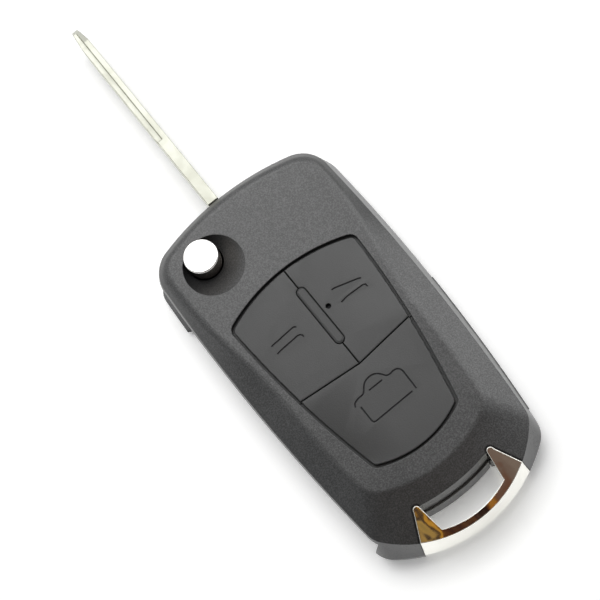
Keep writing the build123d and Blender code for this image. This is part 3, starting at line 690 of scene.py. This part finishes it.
# %% [markdown]
# The table is a large white sheet. White paper lit at a plain level renders a little grey, so a
# small glow lifts it for the camera, and another for mirrors. The soft shadow stays in it. Far
# from the key, where the lamp no longer reaches, the glow grows until the sheet is nearly as
# white as the room.

# %% White table
TABLE_SIDE = 6.0
LIT_OUT_TO = 0.15
UNLIT_FROM = 0.7
GLOW_LIT = 0.21
GLOW_UNLIT = 0.97
GLOW_MIRRORED = 0.28

bpy.ops.object.select_all(action="DESELECT")
bpy.ops.mesh.primitive_plane_add(size=TABLE_SIDE)
table = bpy.context.object
table.name = "table"
paper, tree, skin = new_finish("white_paper")
skin.inputs["Base Color"].default_value = (0.97, 0.97, 0.965, 1)
skin.inputs["Roughness"].default_value = 0.9
skin.inputs["Specular IOR Level"].default_value = 0.1
skin.inputs["Emission Color"].default_value = (1, 1, 1, 1)
ray = put(tree, "ShaderNodeLightPath").outputs
here = put(tree, "ShaderNodeTexCoord").outputs["Object"]
afar = put(tree, "ShaderNodeVectorMath", {"operation": "LENGTH"}, Vector=here)
glow = put(
    tree, "ShaderNodeMapRange", Value=afar.outputs["Value"],
    From_Min=LIT_OUT_TO, From_Max=UNLIT_FROM, To_Min=GLOW_LIT, To_Max=GLOW_UNLIT,
)
looked_at = maths(tree, "MULTIPLY", ray["Is Camera Ray"], glow.outputs[0])
mirrored = maths(tree, "MAXIMUM", ray["Is Glossy Ray"], ray["Is Transmission Ray"])
mirrored = maths(tree, "MULTIPLY", mirrored, GLOW_MIRRORED)
feed(tree, skin, "Emission Strength", maths(tree, "MAXIMUM", looked_at, mirrored))
table.data.materials.append(paper)
print("table size m:", tuple(round(s, 2) for s in table.dimensions))

# %% [markdown]
# The short shadow behind the key-ring end tells where the light is: high up, a little towards the
# blade. One soft box there gives nearly all the light, and is left out of the gloss, where it
# would be one hot spot. Two cards show only in gloss: a bright one low beyond the blade gives the
# face its sheen, which fades towards the key ring, and one on the right lifts the right shoulder.

# %% Soft boxes
def soft_box(name, towards, far, half_angle, glow, lights=True, in_mirrors=True):
    """A round lamp, far metres off, as bright as a white surface in plain light times glow."""
    radius = far * tan(half_angle)
    lamp = bpy.data.lights.new(name, "AREA")
    lamp.shape = "DISK"
    lamp.size = 2 * radius
    lamp.energy = glow * pi * pi * radius * radius
    stand = bpy.data.objects.new(name, lamp)
    scene.collection.objects.link(stand)
    stand.location = towards.normalized() * far
    stand.rotation_euler = (-towards).to_track_quat("-Z", "Y").to_euler()
    stand.visible_diffuse = lights
    stand.visible_glossy = in_mirrors
    print(name, "radius m", round(radius, 3), "energy W", round(lamp.energy, 2))


soft_box(
    "top_box", Vector((0.02, 0.22, 0.975)), far=0.45, half_angle=radians(17), glow=8.1,
    in_mirrors=False,
)
soft_box(
    "sheen_card", Vector((0.03, 0.57, 0.82)), far=0.42, half_angle=radians(18), glow=1.65,
    lights=False,
)
soft_box(
    "side_card", Vector((0.68, 0.26, 0.68)), far=0.42, half_angle=radians(24), glow=1.3,
    lights=False,
)

# %% [markdown]
# What polished metal shows is the room. An environment picture would do, but a few nodes on the
# direction of view are enough, and need no file. First the means: the directions, and a cone of
# them round a middle.

# %% Directions of the room
world = bpy.data.worlds.new("room")
scene.world = world
world.use_nodes = True
tree = world.node_tree
sky = tree.nodes["Background"]
aim = put(tree, "ShaderNodeTexCoord").outputs["Generated"]
side = put(tree, "ShaderNodeSeparateXYZ", Vector=aim).outputs


def spot(tree, aim, middle, half_angle, soft):
    """1 inside a cone of directions, 0 outside, with a soft rim."""
    near = put(tree, "ShaderNodeVectorMath", {"operation": "DOT_PRODUCT"}, Vector=aim)
    near.inputs[1].default_value = middle
    rim = put(
        tree, "ShaderNodeMapRange", {"interpolation_type": "SMOOTHSTEP"},
        Value=near.outputs["Value"],
        From_Min=cos(half_angle + soft), From_Max=cos(half_angle - soft),
    )
    return rim.outputs[0]


print("world:", world.name)

# %% [markdown]
# The bar's top faces look up past the camera, where the photo shows browns and an amber glint: a
# warm room beyond the white table. A colour ramp across the directions gives those streaks, each
# as narrow or wide as it shows, and a slow noise bends their borders a little.

# %% Brown streaks
BEND = 0.10
BROWNS = [
    (0.0, (0.16, 0.12, 0.05)), (0.07, (0.36, 0.22, 0.06)), (0.09, (0.28, 0.17, 0.06)),
    (0.105, (0.06, 0.04, 0.025)), (0.14, (0.05, 0.028, 0.018)), (0.155, (0.50, 0.25, 0.035)),
    (0.195, (0.36, 0.17, 0.025)), (0.21, (0.09, 0.035, 0.015)), (0.30, (0.04, 0.016, 0.012)),
    (0.36, (0.10, 0.045, 0.02)), (0.40, (0.03, 0.014, 0.011)), (0.46, (0.06, 0.03, 0.021)),
    (0.54, (0.012, 0.006, 0.005)), (0.59, (0.09, 0.03, 0.012)), (0.625, (0.36, 0.15, 0.025)),
    (0.66, (0.16, 0.065, 0.02)), (0.72, (0.12, 0.055, 0.035)), (0.82, (0.14, 0.095, 0.075)),
    (1.0, (0.18, 0.135, 0.11)),
]

bends = put(tree, "ShaderNodeTexNoise", Vector=aim, Scale=9.0, Detail=2.0, Distortion=1.5)
drift = maths(tree, "SUBTRACT", bends.outputs[0], NOISE_MIDDLE)
drift = maths(tree, "MULTIPLY", drift, BEND)
across = put(
    tree, "ShaderNodeMapRange", Value=maths(tree, "ADD", side["X"], drift),
    From_Min=-0.2, From_Max=0.3,
)
browns = put(tree, "ShaderNodeValToRGB", Fac=across.outputs[0])
stops = browns.color_ramp.elements
while len(stops) < len(BROWNS):
    stops.new(1.0)
for stop, (share, colour) in zip(stops, BROWNS):
    stop.position = share
    stop.color = (*colour, 1)
print("brown streaks:", len(stops), "stops")

# %% [markdown]
# Around that patch the ceiling is dim, which the bright bar needs: chrome that mirrors only white
# looks like white plastic. The walls are white towards the blade and low down, and dimmer behind
# the key-ring end.

# %% Walls, ceiling and patch
CEILING_AT = Vector((-0.05, -0.25, 0.96)).normalized()
CEILING_HALF_ANGLE = radians(28)
CEILING_SOFT = radians(10)
CEILING_DIM = (0.13, 0.125, 0.12, 1)
PATCH_AT = Vector((0.06, -0.22, 0.97)).normalized()
PATCH_HALF_ANGLE = radians(17)
PATCH_SOFT = radians(2)
WHITE_WALL = 0.95
DIM_WALL = 0.15
LEAN_TO_RIGHT = 0.5

ceiling = spot(tree, aim, CEILING_AT, CEILING_HALF_ANGLE, CEILING_SOFT)
patch = spot(tree, aim, PATCH_AT, PATCH_HALF_ANGLE, PATCH_SOFT)
lean = maths(tree, "ADD", maths(tree, "MULTIPLY", side["X"], LEAN_TO_RIGHT), side["Y"])
upper = put(
    tree, "ShaderNodeMapRange", Value=lean,
    From_Min=-0.2, From_Max=0.1, To_Min=DIM_WALL, To_Max=WHITE_WALL,
)
lower = put(
    tree, "ShaderNodeMapRange", Value=side["Z"],
    From_Min=0.35, From_Max=0.6, To_Min=WHITE_WALL, To_Max=0.0,
)
wall = maths(tree, "MAXIMUM", upper.outputs[0], lower.outputs[0])
walls = put(tree, "ShaderNodeCombineColor", Red=wall, Green=wall, Blue=wall)
mirrored = blend_colour(tree, ceiling, walls.outputs[0], CEILING_DIM)
mirrored = blend_colour(tree, patch, mirrored, browns.outputs["Color"])
print("nodes in the room so far:", len(tree.nodes))

# %% [markdown]
# Only mirrors see that room. The camera sees plain white round the table, and everything gets a
# plain white fill light, much weaker than the soft box, so that no shadow is black.

# %% Who sees which room
ROOM_FILL = 0.24

ray = put(tree, "ShaderNodeLightPath").outputs
shiny = maths(tree, "MAXIMUM", ray["Is Glossy Ray"], ray["Is Transmission Ray"])
feed(tree, sky, "Color", blend_colour(tree, shiny, (1, 1, 1, 1), mirrored))
seen = maths(tree, "MAXIMUM", shiny, ray["Is Camera Ray"])
lift = maths(tree, "MULTIPLY", seen, 1 - ROOM_FILL)
feed(tree, sky, "Strength", maths(tree, "ADD", lift, ROOM_FILL))
print("room fill:", ROOM_FILL)

# %% [markdown]
# Last, the picture keeps plain colours.

# %% Finish
scene.view_settings.view_transform = "Standard"
